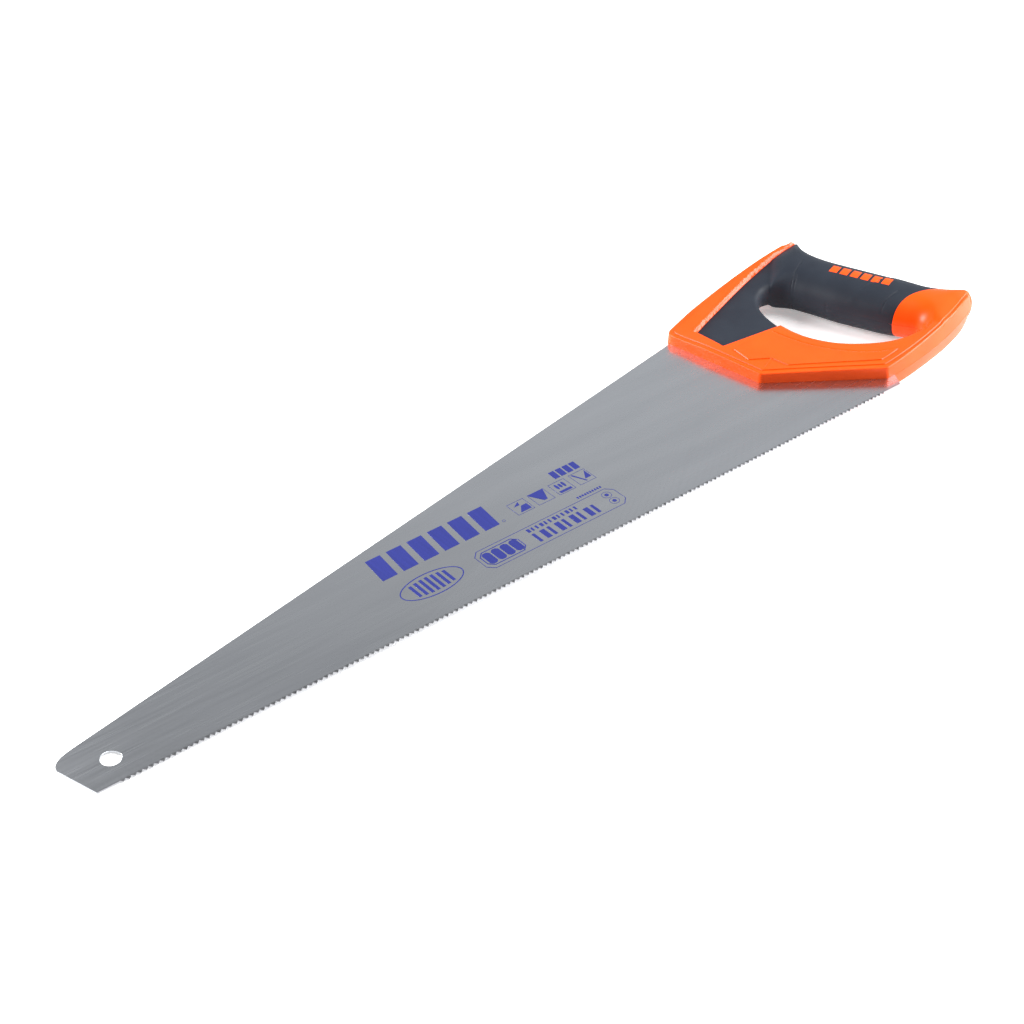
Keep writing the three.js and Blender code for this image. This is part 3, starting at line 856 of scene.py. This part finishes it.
def softbox(name, at, aim, width, height, power):
    data = bpy.data.lights.new(name, "AREA")
    data.shape = "RECTANGLE"
    data.size, data.size_y = width, height
    data.energy = power
    made = bpy.data.objects.new(name, data)
    made.location = at
    made.rotation_mode = "QUATERNION"
    made.rotation_quaternion = (Vector(aim) - Vector(at)).to_track_quat("-Z", "Y")
    bpy.context.scene.collection.objects.link(made)


LEFT = Vector((-0.766, 0.643, 0))   # level, along the saw's picture from right to left
BACK = Vector((0.643, 0.766, 0))


def backdrop():
    """A studio that is white low down behind the saw and dim elsewhere, which the steel mirrors."""
    world = bpy.data.worlds.new("studio")
    bpy.context.scene.world = world
    world.use_nodes = True
    tree = world.node_tree
    direction = node(tree, "ShaderNodeTexCoord")
    behind = node(tree, "ShaderNodeVectorMath", operation="DOT_PRODUCT")
    behind.inputs[1].default_value = BACK
    tree.links.new(direction.outputs["Generated"], behind.inputs[0])
    tree.nodes["Background"].inputs["Color"].default_value = (0.97, 0.985, 1, 1)
    strength = spread(tree, behind.outputs["Value"], 0.16, 0.70, 0.69, 0.82)
    tree.links.new(strength, tree.nodes["Background"].inputs["Strength"])


def lights():
    handle = Vector(placed((565, 80, 0)))
    up = Vector((0, 0, 1))
    softbox("left_softbox", handle + LEFT * 1.0 + up * 0.4, handle, 0.5, 0.5, 21)
    softbox("right_softbox", handle - LEFT * 1.0 + up * 0.4 + BACK * 0.15, handle, 0.5, 0.5, 25)
    sun = bpy.data.lights.new("overhead_light", "SUN")
    sun.energy = 2.55
    sun.angle = math.radians(45)
    overhead = bpy.data.objects.new("overhead_light", sun)
    overhead.rotation_mode = "QUATERNION"
    overhead.rotation_quaternion = (-(up - LEFT * 0.5)).to_track_quat("-Z", "Y")
    bpy.context.scene.collection.objects.link(overhead)
    backdrop()


# ---------------------------------------------------------------- the saw
camera()
floor()
lights()
steel, hard, soft, ink = steel_material(), hard_plastic_material(), soft_grip_material(), ink_material()
blade = blade_piece(steel)
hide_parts("blade")
for side, half in ((1, "upper"), (-1, "lower")):
    shell, skin = handle_half(side, half, hard, soft)
    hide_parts(half + "_handle_shell")
    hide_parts(half + "_grip_skin")
    grip_bars(side, hard)
blade_print(ink)
bpy.context.scene.view_settings.view_transform = "Standard"
